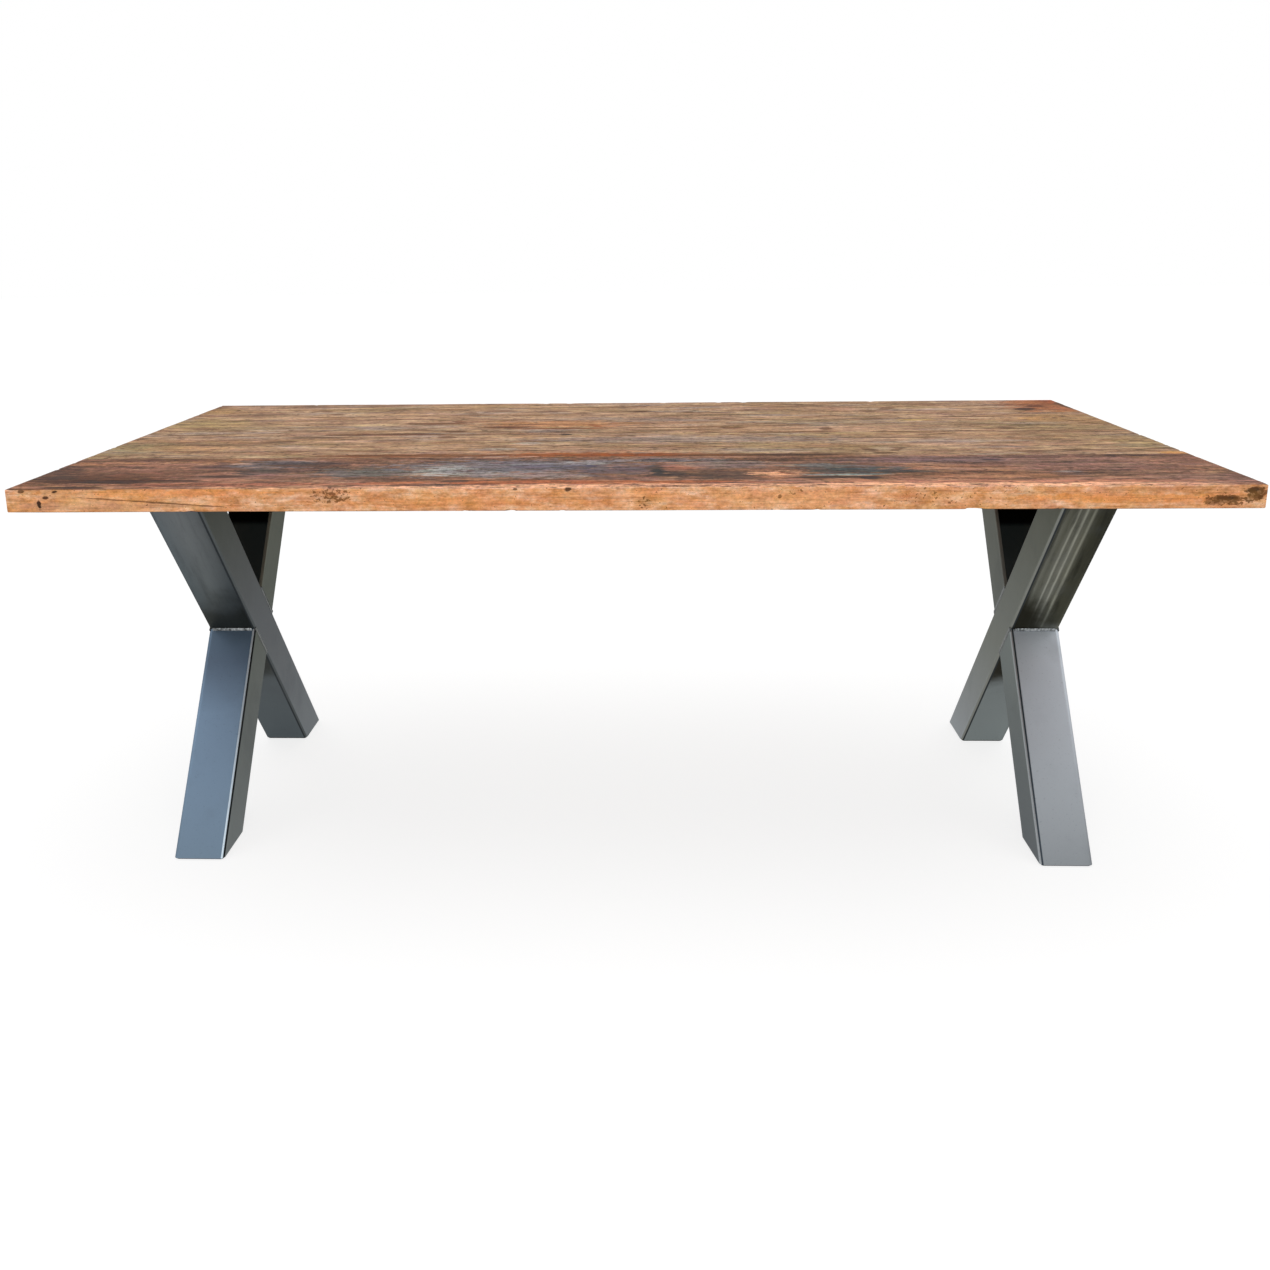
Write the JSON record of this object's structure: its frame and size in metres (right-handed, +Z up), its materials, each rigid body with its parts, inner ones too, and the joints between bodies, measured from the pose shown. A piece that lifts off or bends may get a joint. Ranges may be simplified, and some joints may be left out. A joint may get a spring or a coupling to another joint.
{
  "type": "sawbuck table",
  "caption": "Long dining table with a thick plank top on X-shaped legs of square steel tube, one at each end.",
  "frame": {"origin": "on the floor, midway between the legs and between the front and back edges of the top", "axes": "+X along the table to the right as seen from the front, +Y to the back, +Z up"},
  "size_m": [2.06, 1.18, 0.77],
  "materials": {
    "old_wood": "oiled, weathered",
    "old_wood_dark": "oiled, darkly weathered",
    "tongue_wood": "planed",
    "lacquered_steel": "clear-lacquered mill surface",
    "weld_metal": "as welded, lacquered",
    "glide_rubber": "matt",
    "zinc_plated_steel": "zinc plated"
  },
  "bodies": {
    "root": {"top_board_front": "old_wood_dark", "top_board_middle_front": "old_wood", "top_board_middle_back": "old_wood", "top_board_back": "old_wood", "top_tongue_front": "tongue_wood", "top_tongue_middle": "tongue_wood", "top_tongue_back": "tongue_wood", "left_through_bar": "lacquered_steel", "left_upper_half_bar": "lacquered_steel", "left_lower_half_bar": "lacquered_steel", "left_front_foot_plate": "lacquered_steel", "left_back_foot_plate": "lacquered_steel", "left_mounting_plate": "lacquered_steel", "left_crossing_welds": "weld_metal", "left_plate_welds": "weld_metal", "left_front_floor_glide": "glide_rubber", "left_back_floor_glide": "glide_rubber", "left_mounting_bolts": "zinc_plated_steel", "left_mounting_washers": "zinc_plated_steel", "left_threaded_inserts": "zinc_plated_steel", "right_through_bar": "lacquered_steel", "right_upper_half_bar": "lacquered_steel", "right_lower_half_bar": "lacquered_steel", "right_front_foot_plate": "lacquered_steel", "right_back_foot_plate": "lacquered_steel", "right_mounting_plate": "lacquered_steel", "right_crossing_welds": "weld_metal", "right_plate_welds": "weld_metal", "right_front_floor_glide": "glide_rubber", "right_back_floor_glide": "glide_rubber", "right_mounting_bolts": "zinc_plated_steel", "right_mounting_washers": "zinc_plated_steel", "right_threaded_inserts": "zinc_plated_steel"}
  },
  "joints": []
}
